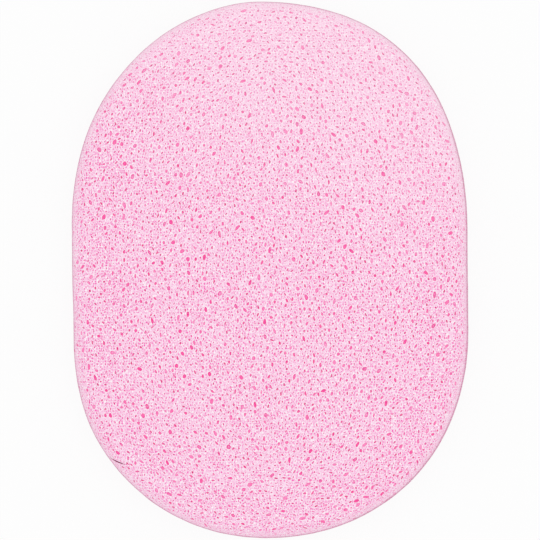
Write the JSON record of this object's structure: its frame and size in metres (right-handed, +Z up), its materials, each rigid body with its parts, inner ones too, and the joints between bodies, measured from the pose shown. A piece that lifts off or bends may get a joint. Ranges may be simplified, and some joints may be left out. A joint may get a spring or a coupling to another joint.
{
  "type": "cleansing puff",
  "caption": "Oval pad of soft open-cell foam with rounded rims, held in the fingers to wash or wipe the face.",
  "frame": {"origin": "on the flat back face that the puff lies on, in the middle of its box", "axes": "+Z up through the thickness, from the flat back face to the crowned front face; +Y along the long axis, towards the far end in the picture; +X across, to the right"},
  "size_m": [0.085, 0.115, 0.01],
  "materials": {
    "pink_foam": "matte soft open-cell foam"
  },
  "bodies": {
    "root": {"foam_pad": "pink_foam"}
  },
  "joints": []
}
